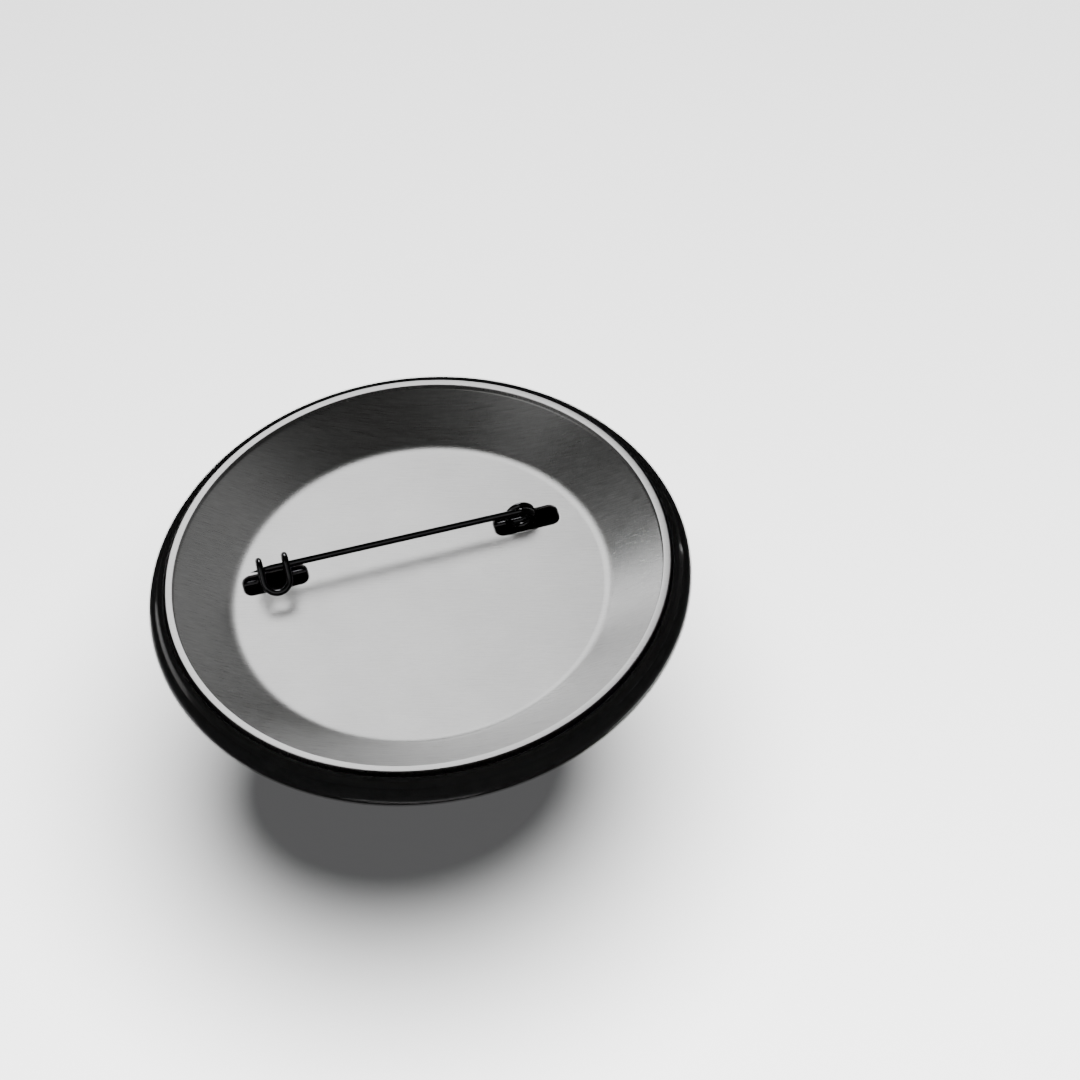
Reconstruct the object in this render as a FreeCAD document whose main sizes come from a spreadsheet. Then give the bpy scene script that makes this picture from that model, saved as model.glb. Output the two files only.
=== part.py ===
"""Button badge, 58 mm, with a sprung wire pin.

A domed steel shell carries a printed paper disc under a clear film. Both skins wrap
round its edge and are tucked in behind the rolled bead of a dished steel back plate.
One bent wire makes the pin: a coil and a catch stand in two slots of the plate, joined
by a straight run behind it, and the needle springs from the coil into the catch.

Millimetres. The origin is the centre of the rear rim, the plane that lies on the cloth.
X runs along the needle to its point, +Y out of the back, +Z up as the badge is worn.
"""

import FreeCAD, Part
import math
import os

import Sketcher

Vector = FreeCAD.Vector
THROUGH_ALL = 1                 # a Pocket's Type

# Driving dimensions, in millimetres and degrees.
DIMENSIONS = {
    "badge_diameter": 58.0,
    "rim_depth": 2.6,           # rear rim plane to the widest circle
    "dome_angle": 16.0,         # slope of the dome where it meets the rounded edge
    "edge_round": 1.5,
    "seam_angle": 62.0,         # how far the rounded edge turns before the crease
    "lip_slope": 20.0,          # lean of the short wall behind the crease
    "lip_length": 0.75,
    "lip_round": 0.5,
    "tuck_depth": 1.55,
    "film_thickness": 0.10,
    "paper_thickness": 0.15,
    "shell_thickness": 0.30,
    "layer_gap": 0.02,
    "plate_thickness": 0.30,
    "pan_depth": 3.8,           # rear rim plane down to the flat of the back plate
    "pan_radius": 20.2,
    "pan_fillet": 2.4,
    "wall_angle": 29.0,
    "bead_inner_radius": 26.10,
    "bead_outer_radius": 26.93,
    "bead_round": 0.12,
    "skirt_depth": 1.70,
    "flange_radius": 27.60,
    "flange_drop": 0.35,
    "slot_length": 6.9,
    "slot_width": 2.6,
    "slot_corner": 0.85,
    "slot_rise": 6.25,          # slot line above the centre of the badge
    "catch_slot_place": 14.6,
    "coil_slot_place": -13.1,
    "wire_diameter": 0.70,
    "needle_rise": 5.9,         # needle line above the centre of the badge
    "needle_root": 2.05,        # wire height over the plate at the coil
    "needle_catch": 2.50,       # wire height over the plate at the catch
    "needle_length": 29.6,
    "taper_length": 2.2,
    "point_radius": 0.03,
    "root_gap": 0.03,
    "coil_place": -12.5,
    "coil_radius": 1.375,
    "coil_turns": 1.5,
    "catch_place": 14.6,
    "arm_spacing": 2.8,
    "leg_offset": 1.2,          # catch legs above the needle line
    "catch_bend": 1.1,
    "catch_bend_height": 2.3,
    "arm_turn": 60.0,           # lean of the catch arms from the badge axis
    "arm_reach": 3.0,           # catch tip below the needle line
    "under_depth": 0.70,        # wire run below the face of the plate
    "leg_bend": 0.70,
    "tail_length": 2.2,
}


class Size:
    """A number that keeps the spreadsheet formula it was worked out with."""

    def __init__(self, value, formula):
        self.value = value
        self.formula = formula

    def join(self, other, sign, value):
        formula = other.formula if isinstance(other, Size) else repr(other)
        return Size(value, f"({self.formula} {sign} {formula})")

    def __add__(self, other):
        return self.join(other, "+", self.value + number(other))

    def __sub__(self, other):
        return self.join(other, "-", self.value - number(other))

    def __mul__(self, other):
        return self.join(other, "*", self.value * number(other))

    def __truediv__(self, other):
        return self.join(other, "/", self.value / number(other))

    def __neg__(self):
        return Size(-self.value, f"(0 - {self.formula})")


def number(size):
    """The plain value of a Size or of a number."""
    return size.value if isinstance(size, Size) else size


def sine(angle):
    return Size(math.sin(math.radians(angle.value)), f"sin({angle.formula})")


def cosine(angle):
    return Size(math.cos(math.radians(angle.value)), f"cos({angle.formula})")


def tangent(angle):
    return Size(math.tan(math.radians(angle.value)), f"tan({angle.formula})")


def make_sheet(doc):
    """The spreadsheet of driving dimensions, one named cell for each."""
    sheet = doc.addObject("Spreadsheet::Sheet", "Sizes")
    for row, (name, value) in enumerate(DIMENSIONS.items(), start=1):
        sheet.set(f"A{row}", name)
        sheet.set(f"B{row}", str(value))
        sheet.setAlias(f"B{row}", name)
    doc.recompute()
    return sheet


def sizes_of(sheet):
    """One Size for each cell of the spreadsheet."""
    return {name: Size(float(sheet.get(name)), f"Sizes.{name}") for name in DIMENSIONS}


class Outline:
    """A closed sketch outline whose points and centres are bound to the spreadsheet.

    Every corner is a pair of Sizes. A corner at the end of an arc is bound by one
    coordinate only, because the arc's centre and start already fix its radius.
    """

    START, END, CENTRE = 1, 2, 3

    def __init__(self, body, name, plane):
        self.sketch = body.newObject("Sketcher::SketchObject", name)
        planes = [item for item in body.Origin.OriginFeatures if item.Role == plane]
        self.sketch.AttachmentSupport = [(planes[0], "")]
        self.sketch.MapMode = "FlatFace"

    def begin(self, start):
        """Start a closed loop. A sketch may hold several."""
        self.here = start
        self.first = None
        self.last = None
        self.to_bind = (start, "xy")

    def bind(self, geometry, position, point, coordinates):
        """Tie a point of the sketch to its distances from the origin."""
        for axis, size in zip("xy", point):
            if axis in coordinates:
                kind = "DistanceX" if axis == "x" else "DistanceY"
                rule = Sketcher.Constraint(kind, -1, 1, geometry, position, size.value)
                index = self.sketch.addConstraint(rule)
                self.sketch.setExpression(f"Constraints[{index}]", size.formula)

    def chain(self, geometry, start, end):
        """Join a new piece to the one before it and bind where it starts."""
        if self.last is None:
            self.first = (geometry, start)
        else:
            rule = Sketcher.Constraint("Coincident", *self.last, geometry, start)
            self.sketch.addConstraint(rule)
        point, coordinates = self.to_bind
        self.bind(geometry, start, point, coordinates)
        self.last = (geometry, end)

    def line(self, point):
        here = Vector(self.here[0].value, self.here[1].value, 0)
        there = Vector(point[0].value, point[1].value, 0)
        index = self.sketch.addGeometry(Part.LineSegment(here, there), False)
        self.chain(index, self.START, self.END)
        self.here = point
        self.to_bind = (point, "xy")

    def arc(self, centre, point, turn, bound):
        """An arc about centre; turn is 1 for anticlockwise and -1 for clockwise."""
        middle = Vector(centre[0].value, centre[1].value, 0)
        here = Vector(self.here[0].value, self.here[1].value, 0) - middle
        there = Vector(point[0].value, point[1].value, 0) - middle
        angles = [math.atan2(spoke.y, spoke.x) for spoke in (here, there)]
        circle = Part.Circle(middle, Vector(0, 0, 1), here.Length)
        if turn > 0:
            geometry = Part.ArcOfCircle(circle, angles[0], angles[1])
            ends = (self.START, self.END)
        else:
            geometry = Part.ArcOfCircle(circle, angles[1], angles[0])
            ends = (self.END, self.START)
        index = self.sketch.addGeometry(geometry, False)
        self.chain(index, *ends)
        self.bind(index, self.CENTRE, centre, "xy")
        self.here = point
        self.to_bind = (point, bound)

    def close(self):
        """Close the loop with a straight line back to its first point."""
        first_geometry, first_position = self.first
        picked = self.sketch.getPoint(first_geometry, first_position)
        here = Vector(self.here[0].value, self.here[1].value, 0)
        index = self.sketch.addGeometry(Part.LineSegment(here, picked), False)
        self.chain(index, self.START, self.END)
        rule = Sketcher.Constraint("Coincident", index, self.END, *self.first)
        self.sketch.addConstraint(rule)


def polar(centre, radius, angle):
    """The point at a distance and a bearing from a centre, as Sizes."""
    return (centre[0] + radius * cosine(angle), centre[1] + radius * sine(angle))


def spin(body, outline):
    """Revolve an outline about the Y axis, the axis of the badge."""
    turned = body.newObject("PartDesign::Revolution", "Turned" + body.Name)
    turned.Profile = outline.sketch
    turned.ReferenceAxis = (outline.sketch, ["V_Axis"])
    turned.Angle = 360
    return turned


class Face:
    """The outer surface of the badge in section, and the same surface set inwards."""

    def __init__(self, sizes):
        self.zero = Size(0.0, "0.0")
        self.sizes = sizes
        half = sizes["badge_diameter"] / 2
        edge_round = sizes["edge_round"]
        self.edge = (half - edge_round, -sizes["rim_depth"])
        reach = self.edge[0] / sine(sizes["dome_angle"])
        self.dome_radius = reach + edge_round
        self.dome = (self.zero, self.edge[1] + reach * cosine(sizes["dome_angle"]))
        self.seam = polar(self.edge, edge_round, sizes["seam_angle"])
        slope = sizes["lip_slope"]
        wall_end = (self.seam[0] - sizes["lip_length"] * sine(slope),
                    self.seam[1] + sizes["lip_length"] * cosine(slope))
        self.lip = (wall_end[0] - sizes["lip_round"] * cosine(slope),
                    wall_end[1] - sizes["lip_round"] * sine(slope))

    def apex(self, inset):
        return (self.zero, self.dome[1] - self.dome_radius + inset)

    def shoulder(self, inset):
        radius = self.sizes["edge_round"] - inset
        return (self.edge[0] + radius * sine(self.sizes["dome_angle"]),
                self.edge[1] - radius * cosine(self.sizes["dome_angle"]))

    def crease_edge(self, inset):
        return polar(self.edge, self.sizes["edge_round"] - inset, self.sizes["seam_angle"])

    def crease_lip(self, inset):
        return polar(self.seam, -inset, self.sizes["lip_slope"])

    def wall_end(self, inset):
        return polar(self.lip, self.sizes["lip_round"] - inset, self.sizes["lip_slope"])

    def tuck(self, inset):
        return (self.lip[0] - self.sizes["lip_round"] + inset, self.lip[1])

    def tuck_end(self, inset):
        return (self.tuck(inset)[0], -self.sizes["tuck_depth"])


def make_skin(doc, name, face, outer, inner, tucked):
    """One layer of the front, between two depths below the outer surface."""
    body = doc.addObject("PartDesign::Body", name)
    outline = Outline(body, "Section" + body.Name, "XY_Plane")
    outline.begin(face.tuck_end(inner) if tucked else face.wall_end(inner))
    if tucked:
        outline.line(face.tuck(inner))
        outline.arc(face.lip, face.wall_end(inner), -1, "y")
    outline.line(face.crease_lip(inner))
    outline.arc(face.seam, face.crease_edge(inner), 1, "x")
    outline.arc(face.edge, face.shoulder(inner), -1, "x")
    outline.arc(face.dome, face.apex(inner), -1, "x")
    outline.line(face.apex(outer))
    outline.arc(face.dome, face.shoulder(outer), 1, "x")
    outline.arc(face.edge, face.crease_edge(outer), 1, "x")
    if outer.value > 0:
        outline.arc(face.seam, face.crease_lip(outer), -1, "y")
    outline.line(face.wall_end(outer))
    if tucked:
        outline.arc(face.lip, face.tuck(outer), 1, "y")
        outline.line(face.tuck_end(outer))
    outline.close()
    spin(body, outline)
    return body


def make_skins(doc, sizes):
    """The clear film, the printed paper and the steel shell, from the outside in."""
    face = Face(sizes)
    depth = face.zero
    skins = []
    layers = (("clear_film", "film_thickness", True),
              ("artwork_disc", "paper_thickness", True),
              ("front_shell", "shell_thickness", False))
    for name, thickness, tucked in layers:
        inner = depth + sizes[thickness]
        skins.append(make_skin(doc, name, face, depth, inner, tucked))
        depth = inner + sizes["layer_gap"]
    return skins


def draw_slot(outline, sizes, place):
    """Draw one round-cornered slot; the sketch is seen with X across and Z up."""
    long_half = sizes["slot_length"] / 2
    wide_half = sizes["slot_width"] / 2
    corner = sizes["slot_corner"]
    left, right = place - long_half, place + long_half
    low, high = sizes["slot_rise"] - wide_half, sizes["slot_rise"] + wide_half
    outline.begin((right - corner, low))
    outline.arc((right - corner, low + corner), (right, low + corner), 1, "y")
    outline.line((right, high - corner))
    outline.arc((right - corner, high - corner), (right - corner, high), 1, "x")
    outline.line((left + corner, high))
    outline.arc((left + corner, high - corner), (left, high - corner), 1, "y")
    outline.line((left, low + corner))
    outline.arc((left + corner, low + corner), (left + corner, low), 1, "x")
    outline.close()


def cut_slots(body, sizes, whole):
    """Pocket the coil's slot and the catch's slot, and check what they took away."""
    slots = Outline(body, "Slots", "XZ_Plane")
    for place in (sizes["catch_slot_place"], sizes["coil_slot_place"]):
        draw_slot(slots, sizes, place)
    pocket = body.newObject("PartDesign::Pocket", "WireSlots")
    pocket.Profile = slots.sketch
    pocket.Type = THROUGH_ALL
    pocket.Midplane = True
    body.Document.recompute()
    removed = whole.Shape.Volume - pocket.Shape.Volume
    corners = (4 - math.pi) * sizes["slot_corner"].value ** 2
    slot_area = sizes["slot_length"].value * sizes["slot_width"].value - corners
    expected = 2 * slot_area * sizes["plate_thickness"].value
    if abs(removed - expected) > 0.02 * expected:
        raise RuntimeError(f"The slots removed {removed:.3f} mm3, not {expected:.3f}")


def make_back_plate(doc, sizes):
    """The dished back with its rolled bead, holding skirt and two wire slots."""
    body = doc.addObject("PartDesign::Body", "back_plate")
    zero = Size(0.0, "0.0")
    angle = sizes["wall_angle"]
    sheet = sizes["plate_thickness"]
    floor = -sizes["pan_depth"]
    bend = sizes["pan_fillet"] * tangent(angle / 2)
    bend_start = sizes["pan_radius"] - bend
    bend_middle = (bend_start, floor + sizes["pan_fillet"])
    bend_end = (bend_middle[0] + sizes["pan_fillet"] * sine(angle),
                bend_middle[1] - sizes["pan_fillet"] * cosine(angle))
    under_fillet = sizes["pan_fillet"] + sheet
    under_end = (bend_middle[0] + under_fillet * sine(angle),
                 bend_middle[1] - under_fillet * cosine(angle))
    inner, outer = sizes["bead_inner_radius"], sizes["bead_outer_radius"]
    bead = sizes["bead_round"]
    skirt = outer - sheet
    wall_top = bend_end[1] + (inner - bend_end[0]) * tangent(angle)
    under_top = under_end[1] + (skirt - under_end[0]) * tangent(angle)
    skirt_end = -sizes["skirt_depth"]
    flange = sizes["flange_radius"]
    flare = skirt_end - sizes["flange_drop"]
    outline = Outline(body, "Section" + body.Name, "XY_Plane")
    outline.begin((zero, floor - sheet))
    outline.line((bend_start, floor - sheet))
    outline.arc(bend_middle, under_end, 1, "x")
    outline.line((skirt, under_top))
    outline.line((skirt, skirt_end - sheet / 2))
    outline.line((flange - sheet / 2, flare - sheet / 2))
    outline.line((flange, flare + sheet / 4))
    outline.line((outer, skirt_end))
    outline.line((outer, -bead))
    outline.arc((outer - bead, -bead), (outer - bead, zero), 1, "x")
    outline.line((inner + bead, zero))
    outline.arc((inner + bead, -bead), (inner, -bead), 1, "y")
    outline.line((inner, wall_top))
    outline.line(bend_end)
    outline.arc(bend_middle, (bend_start, floor), -1, "x")
    outline.line((zero, floor))
    outline.close()
    whole = spin(body, outline)
    doc.recompute()
    cut_slots(body, sizes, whole)
    return body


def make_needle(doc, sizes):
    """The straight arm of the pin: a ball at its root, a sharp taper at its tip."""
    body = doc.addObject("PartDesign::Body", "needle")
    zero = Size(0.0, "0.0")
    radius = sizes["wire_diameter"] / 2
    length = sizes["needle_length"]
    shank_end = length - sizes["taper_length"]
    outline = Outline(body, "SectionNeedle", "XY_Plane")
    outline.begin((-radius, zero))
    outline.arc((zero, zero), (zero, radius), -1, "x")
    outline.line((shank_end, radius))
    outline.line((length, sizes["point_radius"]))
    outline.line((length, zero))
    outline.close()
    turned = body.newObject("PartDesign::Revolution", "TurnedNeedle")
    turned.Profile = outline.sketch
    turned.ReferenceAxis = (outline.sketch, ["H_Axis"])
    turned.Angle = 360
    run = sizes["catch_place"] - sizes["coil_place"]
    climb = sizes["needle_catch"] - sizes["needle_root"]
    tilt = climb / run
    body.Placement = FreeCAD.Placement(Vector(0, 0, 0), FreeCAD.Rotation(Vector(0, 0, 1), 1))
    body.setExpression("Placement.Rotation.Angle", f"atan({tilt.formula})")
    body.setExpression("Placement.Base.x", "Sizes.coil_place")
    body.setExpression("Placement.Base.y", "Sizes.needle_root - Sizes.pan_depth")
    body.setExpression("Placement.Base.z", "Sizes.needle_rise")
    return body


def wire_along(edges, diameter):
    """A round wire swept along joined edges."""
    path = Part.Wire(edges)
    first = path.OrderedEdges[0]
    start = first.valueAt(first.FirstParameter)
    heading = first.tangentAt(first.FirstParameter)
    ring = Part.Wire([Part.makeCircle(diameter / 2, start, heading)])
    return path.makePipeShell([ring], True, True)


def arc_through(centre, radius, across, up, begin, end):
    """An arc edge about centre, its angles in degrees from across towards up."""
    points = []
    for angle in (begin, (begin + end) / 2, end):
        turn = math.radians(angle)
        spoke = across * math.cos(turn) + up * math.sin(turn)
        points.append(centre + spoke * radius)
    return Part.Arc(*points).toShape(), points[0], points[2]


def straight(start, end):
    return Part.makeLine(start, end)


def add_wire(doc, name, shape, sheet):
    """A wire piece placed from the pin's own origin on the face of the plate."""
    piece = doc.addObject("Part::Feature", name)
    piece.Shape = shape
    home = Vector(0, -sheet.get("pan_depth"), sheet.get("needle_rise"))
    piece.Placement = FreeCAD.Placement(home, FreeCAD.Rotation())
    return piece


def make_spring_coil(doc, sheet):
    """One and a half turns from the needle's root, down through the slot."""
    radius = sheet.get("coil_radius")
    wire = sheet.get("wire_diameter")
    start_turn = math.degrees(math.asin((wire / 2 + sheet.get("root_gap")) / radius))
    pitch = sheet.get("leg_offset") / sheet.get("coil_turns")
    turns = sheet.get("coil_turns") - start_turn / 360
    helix = Part.makeHelix(pitch, pitch * turns, radius)
    helix.rotate(Vector(0, 0, 0), Vector(0, 0, 1), 90 + start_turn)
    middle = Vector(sheet.get("coil_place"), sheet.get("needle_root") - radius,
                    pitch * start_turn / 360)
    helix.translate(middle)
    return add_wire(doc, "spring_coil", wire_along(helix.Edges, wire), sheet)


def make_base_wire(doc, sheet):
    """The straight run behind the plate, from the coil to the catch."""
    across = Vector(sheet.get("coil_place") + sheet.get("layer_gap") * 2,
                    -sheet.get("under_depth"), sheet.get("leg_offset"))
    first_leg = sheet.get("catch_place") - sheet.get("arm_spacing") / 2
    end = Vector(first_leg - sheet.get("leg_bend"), across.y, across.z)
    shape = wire_along([straight(across, end)], sheet.get("wire_diameter"))
    return add_wire(doc, "base_wire", shape, sheet)


def make_catch_hook(doc, sheet):
    """The catch: two legs through the slot, bent over the needle, joined in a U."""
    rise, along, up = Vector(0, 1, 0), Vector(1, 0, 0), Vector(0, 0, 1)
    half = sheet.get("arm_spacing") / 2
    low = -sheet.get("under_depth")
    leg_bend = sheet.get("leg_bend")
    bend = sheet.get("catch_bend")
    turn = 180 - sheet.get("arm_turn")
    bend_line = sheet.get("leg_offset") - bend
    lean = math.radians(sheet.get("arm_turn"))
    down = Vector(0, -math.cos(lean), -math.sin(lean))
    limbs = []
    tips = []
    for side in (-1, 1):
        leg = sheet.get("catch_place") + side * half
        foot = Vector(leg + side * leg_bend, low + leg_bend, sheet.get("leg_offset"))
        if side < 0:
            corner, foot_end, leg_start = arc_through(foot, leg_bend, along, rise, -90, 0)
        else:
            corner, foot_end, leg_start = arc_through(foot, leg_bend, along, rise, 270, 180)
        middle = Vector(leg, sheet.get("catch_bend_height"), bend_line)
        hoop, hoop_start, hoop_end = arc_through(middle, bend, up, rise, 0, turn)
        reach = (hoop_end.z + sheet.get("arm_reach")) / math.sin(lean) - half
        arm_end = hoop_end + down * reach
        limb = [corner, straight(leg_start, hoop_start), hoop, straight(hoop_end, arm_end)]
        if side > 0:
            tail = straight(foot_end + along * sheet.get("tail_length"), foot_end)
            limb.insert(0, tail)
            limb.reverse()
        limbs.append(limb)
        tips.append(arm_end)
    middle = (tips[0] + tips[1]) / 2
    bight = Part.Arc(tips[0], middle + down * half, tips[1]).toShape()
    shape = wire_along(limbs[0] + [bight] + limbs[1], sheet.get("wire_diameter"))
    return add_wire(doc, "catch_hook", shape, sheet)


def check_document(doc, pieces):
    """Stop on any failed object, or any piece without one valid solid."""
    for item in doc.Objects:
        if "Invalid" in item.State or "Error" in item.State:
            raise RuntimeError(f"{item.Name} failed: {item.State}")
    for piece in pieces:
        shape = piece.Shape
        if shape.isNull() or not shape.isValid() or len(shape.Solids) != 1:
            raise RuntimeError(f"{piece.Label} is not one valid solid")


def main():
    doc = FreeCAD.newDocument("ButtonBadge")
    sheet = make_sheet(doc)
    sizes = sizes_of(sheet)
    pieces = make_skins(doc, sizes)
    pieces.append(make_back_plate(doc, sizes))
    pieces.append(make_needle(doc, sizes))
    for make_wire in (make_spring_coil, make_base_wire, make_catch_hook):
        pieces.append(make_wire(doc, sheet))
    doc.recompute()
    check_document(doc, pieces)
    os.makedirs("parts", exist_ok=True)
    for piece in pieces:
        piece.Shape.exportStep(f"parts/{piece.Label}.step")
        box = piece.Shape.optimalBoundingBox(False, False)
        print(f"{piece.Label}: {piece.Shape.Volume:.3f} mm3, "
              f"x {box.XMin:.2f} to {box.XMax:.2f}, y {box.YMin:.2f} to {box.YMax:.2f}, "
              f"z {box.ZMin:.2f} to {box.ZMax:.2f}")


main()
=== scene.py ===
"""The looks of the button badge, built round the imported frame.

The film, the printed paper, the steel back and the pin's wire are new meshes on the
frame's own sizes. The steel shell between the skins stays as the frame has it.
Section and wire sizes are in millimetres and degrees, and all else is in metres. The
studio's tones are set for the main view, so several lights reach only some of the pieces.
"""

import math

import bmesh
import bpy
from mathutils import Matrix, Vector, noise


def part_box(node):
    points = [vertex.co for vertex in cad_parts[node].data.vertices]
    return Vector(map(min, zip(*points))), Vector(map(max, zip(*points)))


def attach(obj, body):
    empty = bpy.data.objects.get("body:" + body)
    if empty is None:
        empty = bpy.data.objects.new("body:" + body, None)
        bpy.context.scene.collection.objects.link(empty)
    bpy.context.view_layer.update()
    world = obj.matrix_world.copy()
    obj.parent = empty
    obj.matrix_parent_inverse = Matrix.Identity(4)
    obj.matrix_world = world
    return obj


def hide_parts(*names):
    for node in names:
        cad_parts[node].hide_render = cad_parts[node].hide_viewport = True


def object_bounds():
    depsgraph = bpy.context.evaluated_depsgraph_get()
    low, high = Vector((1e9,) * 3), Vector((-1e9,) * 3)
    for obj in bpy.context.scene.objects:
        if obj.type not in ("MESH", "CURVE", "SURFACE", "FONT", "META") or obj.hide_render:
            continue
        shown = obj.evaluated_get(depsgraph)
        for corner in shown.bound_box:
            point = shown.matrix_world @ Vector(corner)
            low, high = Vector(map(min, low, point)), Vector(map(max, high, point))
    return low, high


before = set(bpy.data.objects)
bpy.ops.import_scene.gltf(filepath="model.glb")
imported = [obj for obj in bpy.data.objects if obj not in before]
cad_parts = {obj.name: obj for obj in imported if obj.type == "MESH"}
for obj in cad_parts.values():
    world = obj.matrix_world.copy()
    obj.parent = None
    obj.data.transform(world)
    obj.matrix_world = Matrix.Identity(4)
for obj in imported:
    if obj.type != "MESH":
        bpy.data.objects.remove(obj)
cad_low, cad_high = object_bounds()

MM = 0.001
SEGMENTS = 320

# The section of the front, from the outside in.
RADIUS = cad_high.x / MM
RIM_DEPTH = 2.6
DOME_ANGLE = 16.0
EDGE_ROUND = 1.5
SEAM_ANGLE = 62.0
LIP_SLOPE = 20.0
LIP_LENGTH = 0.75
LIP_ROUND = 0.5
TUCK_DEPTH = 1.55
CREASE_ROUND = 0.05
FILM = 0.10
PAPER = 0.15
GAP = 0.02
PLEAT = 0.004

# The section of the steel back.
SHEET = 0.30
PAN_DEPTH = 3.8
PAN_RADIUS = 20.2
PAN_FILLET = 2.4
WALL_ANGLE = 29.0
BEAD_INNER = 26.10
BEAD_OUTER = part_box("back_plate")[1].x / MM - 0.67
BEAD_ROUND = 0.12
SKIRT_DEPTH = 1.70
FLANGE_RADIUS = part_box("back_plate")[1].x / MM
FLANGE_DROP = 0.35

# The two slots for the wire.
SLOT_LENGTH = 6.9
SLOT_WIDTH = 2.6
SLOT_CORNER = 0.85
SLOT_RISE = 6.25
SLOT_PLACES = (14.6, -13.1)
SLOT_LIP = 0.20
SLOT_UNDER_LIP = 0.08

# The pin: one bent wire, measured from its own origin on the face of the back.
WIRE = 0.70
NEEDLE_RISE = 5.9
NEEDLE_ROOT = 2.05
NEEDLE_CATCH = 2.50
NEEDLE_LENGTH = 29.6
TAPER_LENGTH = 2.2
COIL_PLACE = -12.5
COIL_RADIUS = 1.375
COIL_TURNS = 1.5
CATCH_PLACE = 14.6
ARM_SPACING = 2.8
LEG_OFFSET = 1.2
CATCH_BEND = 1.1
CATCH_BEND_HEIGHT = 2.3
ARM_TURN = 60.0
ARM_REACH = 3.0
UNDER_DEPTH = 0.70
LEG_BEND = 0.70
TAIL_LENGTH = 2.2

# The camera: where it stands from the badge, how it is rolled, and its framing.
LENS = 150.0
CAMERA_SIDE = 5.1
CAMERA_TILT = 40.1
CAMERA_ROLL = -17.7
CAMERA_DISTANCE = 0.4784
CAMERA_PAN = (0.0128, 0.0047)

# The room: how bright it is to the camera, to matt surfaces and in reflections.
ROOM_SEEN = (3.0, 3.0, 3.0)
ROOM_FILL = (1.1, 1.1, 1.12)
ROOM_REFLECTED = (0.020, 0.020, 0.019)

# The screen beyond the badge, and its lamp: how far ahead, aside and above it stands.
BACKDROP_DEPTH = 0.40
BACKDROP_RADIUS = 0.24
BACKDROP_SHADE = (0.09, 0.09, 0.09, 1)
SHADOW_LAMP = (0.42, 0.014, 0.038)
SHADOW_LAMP_SIZE = 0.026
SHADOW_LAMP_POWER = 1700.0

# The softboxes: name, direction, distance, (width, height), brightness.
SOFTBOXES = (
    ("key", (0.045, 0.762, 0.642), 0.34, (0.17, 0.26), 2.1),
    ("crown", (0.05, -0.05, 0.99), 0.36, (0.24, 0.26), 1.6),
    ("left", (-0.78, 0.45, 0.40), 0.36, (0.50, 0.55), 0.14),
    ("spark", (0.40, 0.35, 0.85), 0.36, (0.05, 0.05), 7.0),
    ("side", (0.72, 0.64, -0.26), 0.36, (0.20, 0.24), 0.6),
    ("fill", (0.09, 0.76, -0.64), 0.36, (0.30, 0.30), 0.5),
    ("glint", (-0.09, 0.50, 0.86), 0.36, (0.12, 0.10), 18.0),
    ("front_right", (0.62, -0.62, 0.48), 0.36, (0.26, 0.20), 0.5),
    ("front_left", (-0.70, -0.70, 0.10), 0.36, (0.10, 0.34), 1.6),
    ("front_low", (0.25, -0.72, -0.62), 0.36, (0.24, 0.10), 0.7),
)


# ---------------------------------------------------------------- sections and meshes

def polar(centre, radius, angle):
    """The point of a section at a distance and a bearing from a centre."""
    turn = math.radians(angle)
    return (centre[0] + radius * math.cos(turn), centre[1] + radius * math.sin(turn))


def arc(centre, radius, begin, end, steps):
    """Evenly spaced points of an arc, both ends included."""
    return [polar(centre, radius, begin + (end - begin) * step / steps)
            for step in range(steps + 1)]


def rounded(corners, steps=7):
    """A line through corners given as (radius, depth, fillet), with round corners."""
    points = [corners[0][:2]]
    for before, corner, after in zip(corners, corners[1:], corners[2:]):
        here = Vector(corner[:2])
        back = (Vector(before[:2]) - here).normalized()
        on = (Vector(after[:2]) - here).normalized()
        half = back.angle(on) / 2
        if corner[2] == 0:
            points.append(tuple(here))
            continue
        centre = here + (back + on).normalized() * (corner[2] / math.sin(half))
        first = here + back * (corner[2] / math.tan(half)) - centre
        last = here + on * (corner[2] / math.tan(half)) - centre
        sweep = first.angle_signed(last)
        for step in range(steps + 1):
            spoke = Matrix.Rotation(-sweep * step / steps, 2) @ first
            points.append(tuple(centre + spoke))
    points.append(corners[-1][:2])
    return points


def add_ring(mesh, section_point, wave, index):
    """One circle of the lathe, or the single point where the section meets the axis."""
    radius, depth = section_point
    if radius < 1e-9:
        return [mesh.verts.new((0, depth * MM, 0))]
    ring = []
    for step in range(SEGMENTS):
        turn = 2 * math.pi * step / SEGMENTS
        out, up = wave(index, turn) if wave else (0.0, 0.0)
        reach = (radius + out) * MM
        place = (reach * math.cos(turn), (depth + up) * MM, reach * math.sin(turn))
        ring.append(mesh.verts.new(place))
    return ring


def bridge(mesh, first, second):
    """Faces between two rings, either of which may be a single point."""
    count = max(len(first), len(second))
    for step in range(count):
        after = (step + 1) % count
        if len(first) == 1:
            mesh.faces.new((first[0], second[after], second[step]))
        elif len(second) == 1:
            mesh.faces.new((first[step], first[after], second[0]))
        else:
            mesh.faces.new((first[step], first[after], second[after], second[step]))


def lathe(mesh, section, wave=None, closed=False):
    """Turn a section about the badge's axis and give back its rings."""
    rings = [add_ring(mesh, point, wave, index) for index, point in enumerate(section)]
    for first, second in zip(rings, rings[1:]):
        bridge(mesh, first, second)
    if closed:
        bridge(mesh, rings[-1], rings[0])
    return rings


def flat_map(mesh, turn):
    """Map the surface from behind, with U at an angle to the needle's line."""
    layer = mesh.loops.layers.uv.new("Flat")
    across, along = math.sin(math.radians(turn)), math.cos(math.radians(turn))
    for face in mesh.faces:
        for loop in face.loops:
            place = loop.vert.co
            u = place.x * along + place.z * across
            v = place.z * along - place.x * across
            loop[layer].uv = (0.5 + u / (2 * RADIUS * MM), 0.5 + v / (2 * RADIUS * MM))


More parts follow.
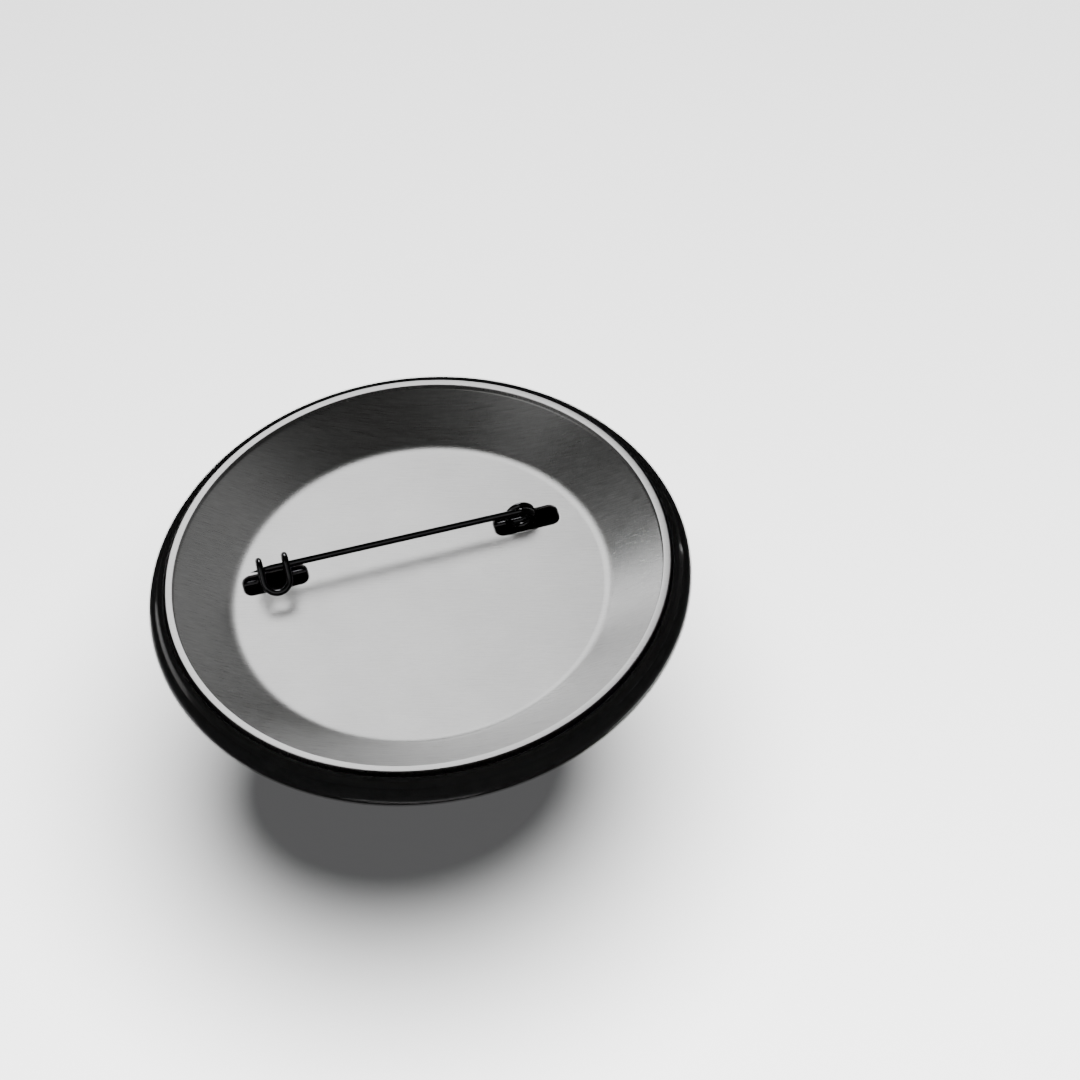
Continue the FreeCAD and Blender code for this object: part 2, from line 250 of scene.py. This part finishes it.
def finish_mesh(mesh, name, material, body, nodes, sharp=35.0):
    """Turn a bmesh into a piece that rides on its body and stands for its CAD nodes."""
    bmesh.ops.recalc_face_normals(mesh, faces=mesh.faces)
    data = bpy.data.meshes.new(name)
    mesh.to_mesh(data)
    mesh.free()
    data.shade_smooth()
    data.set_sharp_from_angle(angle=math.radians(sharp))
    data.materials.append(material)
    piece = bpy.data.objects.new(name, data)
    bpy.context.scene.collection.objects.link(piece)
    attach(piece, body)
    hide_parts(*nodes)
    return piece


# ---------------------------------------------------------------- shader expressions

class Value:
    """A shader value that can be written in plain sums, each of which adds a node."""

    def __init__(self, tree, socket):
        self.tree = tree
        self.socket = socket

    def do(self, operation, *others):
        node = self.tree.nodes.new("ShaderNodeMath")
        node.operation = operation
        for slot, item in zip(node.inputs, (self, *others)):
            if isinstance(item, Value):
                self.tree.links.new(item.socket, slot)
            else:
                slot.default_value = item
        return Value(self.tree, node.outputs[0])

    def __add__(self, other):
        return self.do("ADD", other)

    def __sub__(self, other):
        return self.do("SUBTRACT", other)

    def __mul__(self, other):
        return self.do("MULTIPLY", other)

    def __truediv__(self, other):
        return self.do("DIVIDE", other)

    def low(self, other):
        return self.do("MINIMUM", other)

    def high(self, other):
        return self.do("MAXIMUM", other)

    def size(self):
        return self.do("ABSOLUTE")

    def step_up(self, start, end, low=0.0, high=1.0):
        """Low below start and high above end, in a straight line between them."""
        node = self.tree.nodes.new("ShaderNodeMapRange")
        self.tree.links.new(self.socket, node.inputs["Value"])
        node.inputs["From Min"].default_value = start
        node.inputs["From Max"].default_value = end
        node.inputs["To Min"].default_value = low
        node.inputs["To Max"].default_value = high
        return Value(self.tree, node.outputs["Result"])

    def step_down(self, start, end):
        """1 below start and 0 above end."""
        return self.step_up(start, end, 1.0, 0.0)


def length(first, second):
    """The length of the vector that has these two parts."""
    return (first * first + second * second).do("SQRT")


class Surface:
    """A material with one Principled shader, and helpers to pattern it."""

    def __init__(self, name, **constants):
        self.material = bpy.data.materials.new(name)
        self.material.use_nodes = True
        self.tree = self.material.node_tree
        self.shader = self.tree.nodes["Principled BSDF"]
        for socket, value in constants.items():
            self.shader.inputs[socket.replace("_", " ")].default_value = value

    def place(self):
        """The object's own coordinates, in millimetres."""
        source = self.tree.nodes.new("ShaderNodeTexCoord")
        scaled = self.tree.nodes.new("ShaderNodeVectorMath")
        scaled.operation = "SCALE"
        scaled.inputs["Scale"].default_value = 1 / MM
        self.tree.links.new(source.outputs["Object"], scaled.inputs[0])
        return scaled.outputs["Vector"]

    def stretch(self, vector, factors, turn=0.0):
        """Stretch a coordinate along its own axes, after a turn in the badge's plane."""
        node = self.tree.nodes.new("ShaderNodeMapping")
        node.vector_type = "TEXTURE"
        node.inputs["Rotation"].default_value = (0, math.radians(-turn), 0)
        node.inputs["Scale"].default_value = factors
        self.tree.links.new(vector, node.inputs["Vector"])
        return node.outputs["Vector"]

    def parts(self, vector):
        node = self.tree.nodes.new("ShaderNodeSeparateXYZ")
        self.tree.links.new(vector, node.inputs[0])
        return [Value(self.tree, node.outputs[axis]) for axis in "XYZ"]

    def noise(self, vector, scale, detail=3.0, roughness=0.55):
        node = self.tree.nodes.new("ShaderNodeTexNoise")
        node.inputs["Scale"].default_value = scale
        node.inputs["Detail"].default_value = detail
        node.inputs["Roughness"].default_value = roughness
        self.tree.links.new(vector, node.inputs["Vector"])
        return Value(self.tree, node.outputs["Fac"])

    def mix(self, share, first, second, blend="MIX"):
        """Mix two colours, each a plain tuple or a socket, by a number or a value."""
        node = self.tree.nodes.new("ShaderNodeMix")
        node.data_type = "RGBA"
        node.blend_type = blend
        if isinstance(share, Value):
            self.tree.links.new(share.socket, node.inputs["Factor"])
        else:
            node.inputs["Factor"].default_value = share
        for slot, item in ((node.inputs[6], first), (node.inputs[7], second)):
            if isinstance(item, tuple):
                slot.default_value = (*item, 1.0)
            else:
                self.tree.links.new(item, slot)
        return node.outputs[2]

    def set(self, name, item):
        socket = item.socket if isinstance(item, Value) else item
        self.tree.links.new(socket, self.shader.inputs[name])

    def bump(self, height, strength, distance):
        node = self.tree.nodes.new("ShaderNodeBump")
        node.inputs["Strength"].default_value = strength
        node.inputs["Distance"].default_value = distance
        self.tree.links.new(height.socket, node.inputs["Height"])
        self.tree.links.new(node.outputs["Normal"], self.shader.inputs["Normal"])


def spread(value, middle, reach):
    """Noise about 0.5 turned into a number about middle."""
    return (value - 0.5) * (2 * reach) + middle


# ---------------------------------------------------------------- the emblem

def star(x, y, radius, waist):
    """Distance to a five-pointed star, negative inside it."""
    cosine, sine = math.cos(math.radians(36)), math.sin(math.radians(36))
    x = x.size()
    for side in (1, -1):
        fold = (x * (side * cosine) - y * sine).high(0.0) * 2
        x = x - fold * (side * cosine)
        y = y + fold * sine
    x = x.size()
    y = y - radius
    edge = (waist * sine, waist * cosine - 1)
    span = edge[0] ** 2 + edge[1] ** 2
    along = ((x * edge[0] + y * edge[1]) / span).high(0.0).low(radius)
    distance = length(x - along * edge[0], y - along * edge[1])
    return distance * (y * edge[0] - x * edge[1]).do("SIGN")


def bar(x, y, middle, half_length, thickness):
    """Distance to a round-ended bar that lies along x."""
    beyond = ((x - middle[0]).size() - half_length).high(0.0)
    return length(beyond, y - middle[1]) - thickness / 2


EMBLEM_TURN = 4.0
EMBLEM_LEAN = 0.16
STAR_PLACE = (7.4, 0.5)
STAR_RADIUS = 7.6
STAR_WAIST = 0.52
STAR_ROUND = 0.5
SPEED_BARS = (((-6.4, 5.0), 4.4, 2.5), ((-8.4, 0.9), 5.4, 2.5), ((-6.9, -3.2), 4.0, 2.5))
UNDERLINE = ((-1.0, -8.2), 9.0, 0.9)
DEPTH_SHIFT = (1.5, -1.7)

INK_WHITE = (0.88, 0.88, 0.89)
INK_NAVY = (0.018, 0.022, 0.075)
INK_PINK = (0.62, 0.0, 0.10)
INK_YELLOW = (0.72, 0.74, 0.01)
INK_GREEN = (0.0, 0.48, 0.22)
INK_BLUE = (0.0, 0.12, 0.58)
INK_BLACK = (0.0075, 0.0075, 0.0078)


def emblem_shape(x, y):
    """Distance to the star and the bars that trail behind it."""
    shape = star(x - STAR_PLACE[0], y - STAR_PLACE[1], STAR_RADIUS, STAR_WAIST)
    shape = shape - STAR_ROUND
    lean = x - y * EMBLEM_LEAN
    for middle, half_length, thickness in SPEED_BARS:
        shape = shape.low(bar(lean, y, middle, half_length, thickness))
    return shape


def print_emblem(surface):
    """The print: a coloured sticker-style star on black, worked out from distances."""
    x, _, z = surface.parts(surface.place())
    turn = math.radians(EMBLEM_TURN)
    across = x * math.cos(turn) + z * math.sin(turn)
    up = z * math.cos(turn) - x * math.sin(turn)
    face = emblem_shape(across, up)
    depth = emblem_shape(across - DEPTH_SHIFT[0], up - DEPTH_SHIFT[1])
    middle = emblem_shape(across - DEPTH_SHIFT[0] / 2, up - DEPTH_SHIFT[1] / 2)
    underline = bar(across, up, *UNDERLINE)
    block = face.low(depth).low(middle).low(underline)

    blur = 0.035
    gradient = surface.mix((up + 0.15 * STAR_RADIUS).step_up(-6.0, 6.5), INK_BLUE, INK_GREEN)
    dashes = (across * 1.05 + up * 0.4).do("SINE").step_up(-0.62, -0.52)
    accent = ((depth + 0.42).size() - 0.24).step_down(-blur, blur)
    accent = accent * face.step_up(0.50, 0.50 + 2 * blur) * dashes
    stroke = underline.step_down(-blur, blur) * dashes
    colour = surface.mix(block.step_down(2.15 - blur, 2.15 + blur), INK_BLACK, INK_WHITE)
    colour = surface.mix(block.step_down(0.85 - blur, 0.85 + blur), colour, INK_NAVY)
    colour = surface.mix(accent.high(stroke), colour, INK_PINK)
    colour = surface.mix(face.step_down(-blur, blur), colour, INK_YELLOW)
    return surface.mix(face.step_down(-0.42 - blur, -0.42 + blur), colour, gradient)


# ---------------------------------------------------------------- materials

BRUSH_TURN = 17.5
FILM_SHINE_FACE = 0.028
FILM_SHINE_EDGE = 0.9


def paper_material():
    surface = Surface("printed_paper", Roughness=0.42, Specular_IOR_Level=0.25,
                      Coat_Weight=0.12, Coat_Roughness=0.08)
    ink = print_emblem(surface)
    grain = surface.noise(surface.place(), 14.0, 4.0)
    shade = surface.mix(grain.step_up(0.30, 0.75), (0.86, 0.86, 0.86), (1.0, 1.0, 1.0))
    surface.set("Base Color", surface.mix(1.0, ink, shade, "MULTIPLY"))
    surface.set("Roughness", spread(grain, 0.42, 0.10))
    surface.bump(grain, 0.05, 0.00002)
    return surface.material


def film_material():
    """Clear film: a gloss over whatever is under it, stronger at a glancing angle."""
    surface = Surface("clear_film")
    tree = surface.tree
    tree.nodes.remove(surface.shader)
    place = surface.place()
    haze = surface.noise(place, 0.22, 2.0)
    scratches = surface.noise(surface.stretch(place, (0.25, 1.0, 6.0), 24.0), 5.0, 5.0, 0.7)
    swell = surface.noise(place, 0.09, 1.0)
    gloss = tree.nodes.new("ShaderNodeBsdfGlossy")
    clear = tree.nodes.new("ShaderNodeBsdfTransparent")
    edge = tree.nodes.new("ShaderNodeLayerWeight")
    edge.inputs["Blend"].default_value = 0.5
    shine = Value(tree, edge.outputs["Facing"]).do("POWER", 5.0)
    shine = shine * FILM_SHINE_EDGE + FILM_SHINE_FACE
    bump = tree.nodes.new("ShaderNodeBump")
    bump.inputs["Strength"].default_value = 0.12
    bump.inputs["Distance"].default_value = 0.00006
    height = swell * 3.0 + scratches * 0.05
    tree.links.new(height.socket, bump.inputs["Height"])
    fine = scratches.step_up(0.60, 0.78) * 0.05
    rough = haze.step_up(0.35, 0.65) * 0.03 + fine + 0.055
    tree.links.new(rough.socket, gloss.inputs["Roughness"])
    for node in (gloss, edge):
        tree.links.new(bump.outputs["Normal"], node.inputs["Normal"])
    mixed = tree.nodes.new("ShaderNodeMixShader")
    tree.links.new(shine.socket, mixed.inputs["Fac"])
    tree.links.new(clear.outputs[0], mixed.inputs[1])
    tree.links.new(gloss.outputs[0], mixed.inputs[2])
    tree.links.new(mixed.outputs[0], tree.nodes["Material Output"].inputs["Surface"])
    return surface.material


def brushed_material():
    """Fine brushed tinplate, its lines at a slant to the needle."""
    surface = Surface("brushed_back", Metallic=1.0, Anisotropic=0.55)
    place = surface.place()
    long_place = surface.stretch(place, (7.0, 1.0, 0.085), BRUSH_TURN)
    long_lines = surface.noise(long_place, 1.3, 6.0, 0.72)
    short_place = surface.stretch(place, (1.6, 1.0, 0.05), BRUSH_TURN)
    short_lines = surface.noise(short_place, 1.1, 4.0, 0.6)
    cloud = surface.noise(place, 0.12, 3.0)
    streaks = long_lines * 0.6 + short_lines * 0.4
    tone = streaks.step_up(0.38, 0.62)
    base = surface.mix(tone, (0.60, 0.60, 0.60), (0.80, 0.80, 0.795))
    glints = short_lines.step_up(0.66, 0.76) * cloud.step_up(0.35, 0.6)
    base = surface.mix(glints * 0.7, base, (0.95, 0.95, 0.95))
    surface.set("Base Color", base)
    rough = spread(streaks, 0.31, 0.18) + spread(cloud, 0.0, 0.05)
    surface.set("Roughness", rough.high(0.12))
    tangent = surface.tree.nodes.new("ShaderNodeTangent")
    tangent.direction_type = "UV_MAP"
    tangent.uv_map = "Flat"
    surface.tree.links.new(tangent.outputs[0], surface.shader.inputs["Tangent"])
    surface.bump(streaks + cloud * 0.8, 0.30, 0.00004)
    return surface.material


def wire_material():
    """Dark drawn spring wire: fine lines along it, in a tone that varies in patches."""
    surface = Surface("pin_wire", Metallic=1.0)
    source = surface.tree.nodes.new("ShaderNodeUVMap")
    source.uv_map = "Along"
    lines = surface.noise(surface.stretch(source.outputs["UV"], (2.4, 0.06, 1.0)), 1.4, 5.0, 0.7)
    patches = surface.noise(surface.place(), 0.9, 3.0)
    tone = spread(lines, 0.5, 0.4) * 0.6 + patches * 0.4
    base = surface.mix(tone.step_up(0.25, 0.75), (0.035, 0.035, 0.037), (0.085, 0.085, 0.088))
    surface.set("Base Color", base)
    surface.set("Roughness", spread(lines, 0.15, 0.08) + spread(patches, 0.0, 0.04))
    surface.bump(lines, 0.3, 0.00002)
    return surface.material


def tinplate_material():
    """The front shell's tinplate, hidden between the skins and the back."""
    surface = Surface("tinned_shell", Metallic=1.0)
    place = surface.place()
    flow = surface.noise(surface.stretch(place, (6.0, 1.0, 0.12)), 1.2, 5.0)
    spangle = surface.noise(place, 0.6, 2.0)
    base = surface.mix(flow.step_up(0.3, 0.7), (0.55, 0.55, 0.54), (0.70, 0.70, 0.68))
    surface.set("Base Color", base)
    surface.set("Roughness", spread(spangle, 0.32, 0.12))
    surface.bump(flow, 0.15, 0.00003)
    return surface.material


# ---------------------------------------------------------------- the front

EDGE = (RADIUS - EDGE_ROUND, -RIM_DEPTH)
DOME_REACH = EDGE[0] / math.sin(math.radians(DOME_ANGLE))
DOME_RADIUS = DOME_REACH + EDGE_ROUND
DOME = (0.0, EDGE[1] + DOME_REACH * math.cos(math.radians(DOME_ANGLE)))
SEAM = polar(EDGE, EDGE_ROUND, SEAM_ANGLE)
WALL_END = polar(SEAM, LIP_LENGTH, LIP_SLOPE + 90)
LIP = polar(WALL_END, -LIP_ROUND, LIP_SLOPE)


def face_line(inset):
    """The front's surface in section, set in by inset, from the pole to the tuck."""
    half_crease = (SEAM_ANGLE - LIP_SLOPE) / 2
    crease = polar(SEAM, CREASE_ROUND / math.cos(math.radians(half_crease)),
                   LIP_SLOPE + half_crease)
    cut = math.degrees(CREASE_ROUND * math.tan(math.radians(half_crease)) / EDGE_ROUND)
    points = arc(DOME, DOME_RADIUS - inset, -90, DOME_ANGLE - 90, 44)
    points[0] = (0.0, points[0][1])
    points += arc(EDGE, EDGE_ROUND - inset, DOME_ANGLE - 90, SEAM_ANGLE - cut, 28)[1:]
    points += arc(crease, -(CREASE_ROUND + inset), SEAM_ANGLE, LIP_SLOPE, 6)[1:]
    points += arc(LIP, LIP_ROUND - inset, LIP_SLOPE, 180, 14)
    points.append((LIP[0] - LIP_ROUND + inset, -TUCK_DEPTH))
    return points


def pleats(inset_line, height, seed):
    """Small folds where a skin is gathered round the back of the edge."""
    start = max(index for index, point in enumerate(inset_line) if point[0] > SEAM[0] - 0.1)

    def wave(index, turn):
        share = min(1.0, max(0.0, (index - start) / 6))
        around = Vector((math.cos(turn), math.sin(turn), 0)) * 9
        fold = noise.noise(around + Vector((0, 0, seed)))
        fold += 0.5 * noise.noise(around * 3 + Vector((0, 0, seed + 5)))
        return (fold * height * share, 0.5 * fold * height * share)

    return wave


def make_skin(name, outer, inner, fold, material, nodes):
    """A closed skin between two depths below the front's surface."""
    mesh = bmesh.new()
    outside, inside = face_line(outer), face_line(inner)
    waves = pleats(outside, fold, 3.0)
    count = len(outside)

    def wave(index, turn):
        return waves(index if index < count else 2 * count - 1 - index, turn)

    lathe(mesh, outside + inside[::-1], wave)
    flat_map(mesh, 0.0)
    return finish_mesh(mesh, name, material, "badge", nodes)


# ---------------------------------------------------------------- the back

def slot_ring(mesh, place, grow, depth):
    """A round-cornered loop about a slot, grown outwards and at a depth."""
    steps = 10
    ring = []
    for quarter, (side, level) in enumerate(((1, 1), (-1, 1), (-1, -1), (1, -1))):
        centre = (place + side * (SLOT_LENGTH / 2 - SLOT_CORNER),
                  SLOT_RISE + level * (SLOT_WIDTH / 2 - SLOT_CORNER))
        corner = arc(centre, SLOT_CORNER + grow, 90 * quarter, 90 * quarter + 90, steps)
        ring += [mesh.verts.new((x * MM, depth * MM, z * MM)) for x, z in corner]
    return ring


def slot_wall(mesh, place):
    """The slot's edge with its burnished lips; gives its upper and lower loops."""
    top, low = -PAN_DEPTH, -PAN_DEPTH - SHEET
    section = [(SLOT_LIP + 0.06, top)]
    section += arc((SLOT_LIP, top - SLOT_LIP), SLOT_LIP, 90, 180, 8)
    section += arc((SLOT_UNDER_LIP, low + SLOT_UNDER_LIP), SLOT_UNDER_LIP, 180, 270, 5)
    section.append((SLOT_UNDER_LIP + 0.06, low))
    rings = [slot_ring(mesh, place, grow, depth) for grow, depth in section]
    for first, second in zip(rings, rings[1:]):
        bridge(mesh, first, second)
    return rings[0], rings[-1]


def fill_between(mesh, loops):
    """Close the flat sheet between an outer loop and the loops of its holes."""
    edges = []
    for loop in loops:
        for first, second in zip(loop, loop[1:] + loop[:1]):
            edges.append(mesh.edges.get((first, second)) or mesh.edges.new((first, second)))
    bmesh.ops.triangle_fill(mesh, edges=edges, use_beauty=True)


def make_back():
    floor = -PAN_DEPTH
    slope = math.tan(math.radians(WALL_ANGLE))
    skirt = BEAD_OUTER - SHEET
    under = PAN_RADIUS + SHEET * math.tan(math.radians(WALL_ANGLE / 2))
    flare = -SKIRT_DEPTH - FLANGE_DROP
    section = rounded([
        (PAN_RADIUS - 0.6, floor, 0),
        (PAN_RADIUS, floor, PAN_FILLET),
        (BEAD_INNER, floor + (BEAD_INNER - PAN_RADIUS) * slope, 0.22),
        (BEAD_INNER, 0.0, BEAD_ROUND),
        (BEAD_OUTER, 0.0, BEAD_ROUND),
        (BEAD_OUTER, -SKIRT_DEPTH, 0.10),
        (FLANGE_RADIUS, flare + SHEET / 4, 0.05),
        (FLANGE_RADIUS - SHEET / 2, flare - SHEET / 2, 0.05),
        (skirt, -SKIRT_DEPTH - SHEET / 2, 0.10),
        (skirt, floor - SHEET + (skirt - under) * slope, 0.15),
        (under, floor - SHEET, PAN_FILLET + SHEET),
        (PAN_RADIUS - 0.6, floor - SHEET, 0),
    ])
    mesh = bmesh.new()
    rings = lathe(mesh, section)
    walls = [slot_wall(mesh, place) for place in SLOT_PLACES]
    fill_between(mesh, [rings[0]] + [wall[0] for wall in walls])
    fill_between(mesh, [rings[-1]] + [wall[1] for wall in walls])
    flat_map(mesh, BRUSH_TURN)
    return finish_mesh(mesh, "steel_back", brushed_material(), "badge",
                       ["back_plate"])


# ---------------------------------------------------------------- the wire

ALONG, RISE, UP = Vector((1, 0, 0)), Vector((0, 1, 0)), Vector((0, 0, 1))
PIN_HOME = Vector((0, -PAN_DEPTH, NEEDLE_RISE))


def bend(centre, radius, across, up, begin, end, steps=18):
    """Points of a bend of the wire, its angles from across towards up."""
    points = []
    for step in range(steps + 1):
        turn = math.radians(begin + (end - begin) * step / steps)
        spoke = across * math.cos(turn) + up * math.sin(turn)
        points.append(centre + spoke * radius)
    return points


def coil_points():
    """One and a half turns, from the needle's root down to the run behind the back."""
    steps = 90
    pitch = LEG_OFFSET / COIL_TURNS
    points = []
    for step in range(steps + 1):
        turns = COIL_TURNS * step / steps
        turn = math.radians(90 + 360 * turns)
        spoke = ALONG * math.cos(turn) + RISE * math.sin(turn)
        centre = Vector((COIL_PLACE, NEEDLE_ROOT - COIL_RADIUS, pitch * turns))
        points.append(centre + spoke * COIL_RADIUS)
    return points


def catch_points():
    """Up a leg, over the needle, round the tip of the catch and back to the tail."""
    half = ARM_SPACING / 2
    lean = math.radians(ARM_TURN)
    down = RISE * -math.cos(lean) + UP * -math.sin(lean)
    limbs = []
    for side in (-1, 1):
        leg = CATCH_PLACE + side * half
        foot = Vector((leg + side * LEG_BEND, LEG_BEND - UNDER_DEPTH, LEG_OFFSET))
        limb = bend(foot, LEG_BEND, ALONG * -side, RISE, -90, 0, 10)
        middle = Vector((leg, CATCH_BEND_HEIGHT, LEG_OFFSET - CATCH_BEND))
        hoop = bend(middle, CATCH_BEND, UP, RISE, 0, 180 - ARM_TURN, 24)
        reach = (hoop[-1].z + ARM_REACH) / math.sin(lean) - half
        limbs.append(limb + hoop + [hoop[-1] + down * reach])
    middle = (limbs[0][-1] + limbs[1][-1]) / 2
    tip = bend(middle, half, -ALONG, down, 0, 180, 24)[1:-1]
    tail = limbs[1][0] + ALONG * TAIL_LENGTH
    return limbs[0] + tip + limbs[1][::-1] + [tail]


def evened(points, step):
    """The same line with a point at least every step, so that its mesh is even."""
    line = [points[0]]
    for point in points[1:]:
        start = line[-1]
        pieces = max(1, math.ceil((point - start).length / step))
        line += [start.lerp(point, piece / pieces) for piece in range(1, pieces + 1)]
    return line


def tube(mesh, points, radii, sides=28):
    """A round tube along points, with a length map for its drawing lines."""
    layer = mesh.loops.layers.uv.new("Along")
    heading = (points[1] - points[0]).normalized()
    across = heading.orthogonal().normalized()
    rings, travelled = [], [0.0]
    for index, point in enumerate(points):
        ahead = points[min(index + 1, len(points) - 1)] - points[max(index - 1, 0)]
        turn = heading.rotation_difference(ahead.normalized())
        heading = ahead.normalized()
        across = (turn @ across).normalized()
        up = heading.cross(across)
        ring = []
        for side in range(sides):
            angle = 2 * math.pi * side / sides
            spoke = across * math.cos(angle) + up * math.sin(angle)
            place = PIN_HOME + point + spoke * radii[index]
            ring.append(mesh.verts.new(place * MM))
        rings.append(ring)
        if index:
            travelled.append(travelled[-1] + (point - points[index - 1]).length)
    for index in range(len(rings) - 1):
        for side in range(sides):
            after = (side + 1) % sides
            face = mesh.faces.new((rings[index][side], rings[index][after],
                                   rings[index + 1][after], rings[index + 1][side]))
            corners = ((index, side), (index, side + 1), (index + 1, side + 1),
                       (index + 1, side))
            for loop, (row, column) in zip(face.loops, corners):
                loop[layer].uv = (travelled[row], column * math.pi * WIRE / sides)
    mesh.faces.new(rings[0][::-1])
    mesh.faces.new(rings[-1])


def round_end(points, radius, steps=8):
    """A line and its radii with a round end before the first point."""
    heading = (points[0] - points[1]).normalized()
    cap, radii = [], []
    for step in range(steps):
        turn = math.radians(90 - 4) * (1 - step / steps)
        cap.append(points[0] + heading * radius * math.sin(turn))
        radii.append(radius * math.cos(turn))
    return cap + points, radii + [radius] * len(points)


def make_pin(material):
    """The coil, the run behind the back and the catch, as the one wire that they are."""
    line = evened(coil_points() + catch_points(), 0.5)
    points, radii = round_end(line, WIRE / 2)
    mesh = bmesh.new()
    tube(mesh, points, radii)
    return finish_mesh(mesh, "pin_wire", material, "badge",
                       ["spring_coil", "base_wire", "catch_hook"])


def make_needle(material):
    """The straight arm, from its root in the coil to a ground point."""
    climb = (NEEDLE_CATCH - NEEDLE_ROOT) / (CATCH_PLACE - COIL_PLACE)
    heading = Vector((1, climb, 0)).normalized()
    root = Vector((COIL_PLACE, NEEDLE_ROOT, 0))
    shank = NEEDLE_LENGTH - TAPER_LENGTH
    line = evened([root, root + heading * shank], 0.4)
    points, radii = round_end(line, WIRE / 2)
    steps = 14
    for step in range(1, steps + 1):
        share = step / steps
        points.append(root + heading * (shank + TAPER_LENGTH * share))
        radii.append(WIRE / 2 * max(0.06, 1 - share ** 1.35))
    mesh = bmesh.new()
    tube(mesh, points, radii)
    return finish_mesh(mesh, "needle_wire", material, "needle", ["needle"])


# ---------------------------------------------------------------- the studio

def camera_axes():
    """The camera's direction from the badge, and its right and up."""
    side, tilt = math.radians(CAMERA_SIDE), math.radians(CAMERA_TILT)
    towards = Vector((math.sin(side), math.cos(side) * math.cos(tilt),
                      -math.cos(side) * math.sin(tilt)))
    level = (-towards).cross(Vector((0, 0, 1))).normalized()
    above = level.cross(-towards)
    roll = math.radians(CAMERA_ROLL)
    right = level * math.cos(roll) + above * math.sin(roll)
    return towards, right, right.cross(-towards)


def make_camera():
    towards, right, up = camera_axes()
    data = bpy.data.cameras.new("camera")
    data.lens = LENS
    data.clip_start = 0.01
    data.clip_end = 10
    camera = bpy.data.objects.new("camera", data)
    middle = Vector((0, -RIM_DEPTH * MM, 0))
    place = middle + towards * CAMERA_DISTANCE + right * CAMERA_PAN[0] + up * CAMERA_PAN[1]
    axes = Matrix((right, up, towards)).transposed().to_4x4()
    camera.matrix_world = Matrix.Translation(place) @ axes
    bpy.context.scene.collection.objects.link(camera)
    bpy.context.scene.camera = camera


def make_world():
    """Pale to the camera, bright to matt surfaces and dim in reflections."""
    world = bpy.data.worlds.new("studio")
    bpy.context.scene.world = world
    world.use_nodes = True
    tree = world.node_tree
    background = tree.nodes["Background"]
    path = tree.nodes.new("ShaderNodeLightPath")
    colour = None
    for ray, tint in (("Is Camera Ray", ROOM_SEEN), ("Is Diffuse Ray", ROOM_FILL)):
        mixed = tree.nodes.new("ShaderNodeMix")
        mixed.data_type = "RGBA"
        tree.links.new(path.outputs[ray], mixed.inputs["Factor"])
        if colour is None:
            mixed.inputs[6].default_value = (*ROOM_REFLECTED, 1)
        else:
            tree.links.new(colour, mixed.inputs[6])
        mixed.inputs[7].default_value = (*tint, 1)
        colour = mixed.outputs[2]
    tree.links.new(colour, background.inputs["Color"])


def area_light(name, towards, distance, size, radiance):
    """A softbox that faces the badge, of an even brightness."""
    data = bpy.data.lights.new(name, "AREA")
    data.shape = "RECTANGLE"
    data.size, data.size_y = size
    data.energy = radiance * math.pi * size[0] * size[1]
    light = bpy.data.objects.new(name, data)
    back = Vector(towards).normalized()
    light.location = back * distance
    light.rotation_mode = "QUATERNION"
    light.rotation_quaternion = back.to_track_quat("Z", "Y")
    light.visible_camera = False
    bpy.context.scene.collection.objects.link(light)
    return light


def light_only(light, *pieces):
    """Keep a light off everything but these pieces."""
    group = bpy.data.collections.new(light.name + "_only")
    for piece in pieces:
        group.objects.link(piece)
    light.light_linking.receiver_collection = group


def make_lights():
    return {box[0]: area_light(*box) for box in SOFTBOXES}


def make_backdrop():
    """A round pale screen beyond the badge in the main view, which takes its shadow."""
    towards, right, up = camera_axes()
    reach = (BACKDROP_DEPTH - RIM_DEPTH * MM) / towards.y
    centre = -towards * reach
    mesh = bmesh.new()
    bmesh.ops.create_circle(mesh, cap_ends=True, radius=BACKDROP_RADIUS, segments=96)
    data = bpy.data.meshes.new("backdrop")
    mesh.to_mesh(data)
    mesh.free()
    screen = bpy.data.objects.new("backdrop", data)
    screen.location = (centre.x, -BACKDROP_DEPTH, centre.z)
    screen.rotation_euler = (math.radians(-90), 0, 0)
    bpy.context.scene.collection.objects.link(screen)
    for ray in ("visible_diffuse", "visible_glossy", "visible_transmission", "visible_shadow"):
        setattr(screen, ray, False)
    surface = Surface("backdrop", Roughness=1.0, Specular_IOR_Level=0.0)
    surface.shader.inputs["Base Color"].default_value = BACKDROP_SHADE
    data.materials.append(surface.material)
    cast_shadow(screen, towards, right, up)


def cast_shadow(screen, towards, right, up):
    """A lamp that lights only the screen and throws the badge's soft shadow on it."""
    data = bpy.data.lights.new("shadow_lamp", "POINT")
    data.shadow_soft_size = SHADOW_LAMP_SIZE
    data.energy = SHADOW_LAMP_POWER
    lamp = bpy.data.objects.new("shadow_lamp", data)
    ahead, aside, above = SHADOW_LAMP
    lamp.location = towards * ahead + right * aside + up * above
    lamp.visible_camera = False
    bpy.context.scene.collection.objects.link(lamp)
    light_only(lamp, screen)


# ---------------------------------------------------------------- putting it together

make_camera()
make_world()
lights = make_lights()
make_backdrop()

make_skin("film", 0.0, FILM, PLEAT, film_material(), ["clear_film"])
make_skin("printed_disc", FILM + GAP, FILM + GAP + PAPER, PLEAT, paper_material(),
          ["artwork_disc"])
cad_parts["front_shell"].data.materials.clear()
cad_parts["front_shell"].data.materials.append(tinplate_material())
steel_back = make_back()
wire = wire_material()
pin_wire = make_pin(wire)
needle_wire = make_needle(wire)
for names, pieces in ((("key", "left", "crown", "spark"), (steel_back,)),
                      (("side",), (steel_back, pin_wire, needle_wire)),
                      (("fill",), (pin_wire, needle_wire)),
                      (("glint",), (pin_wire,))):
    for name in names:
        light_only(lights[name], *pieces)
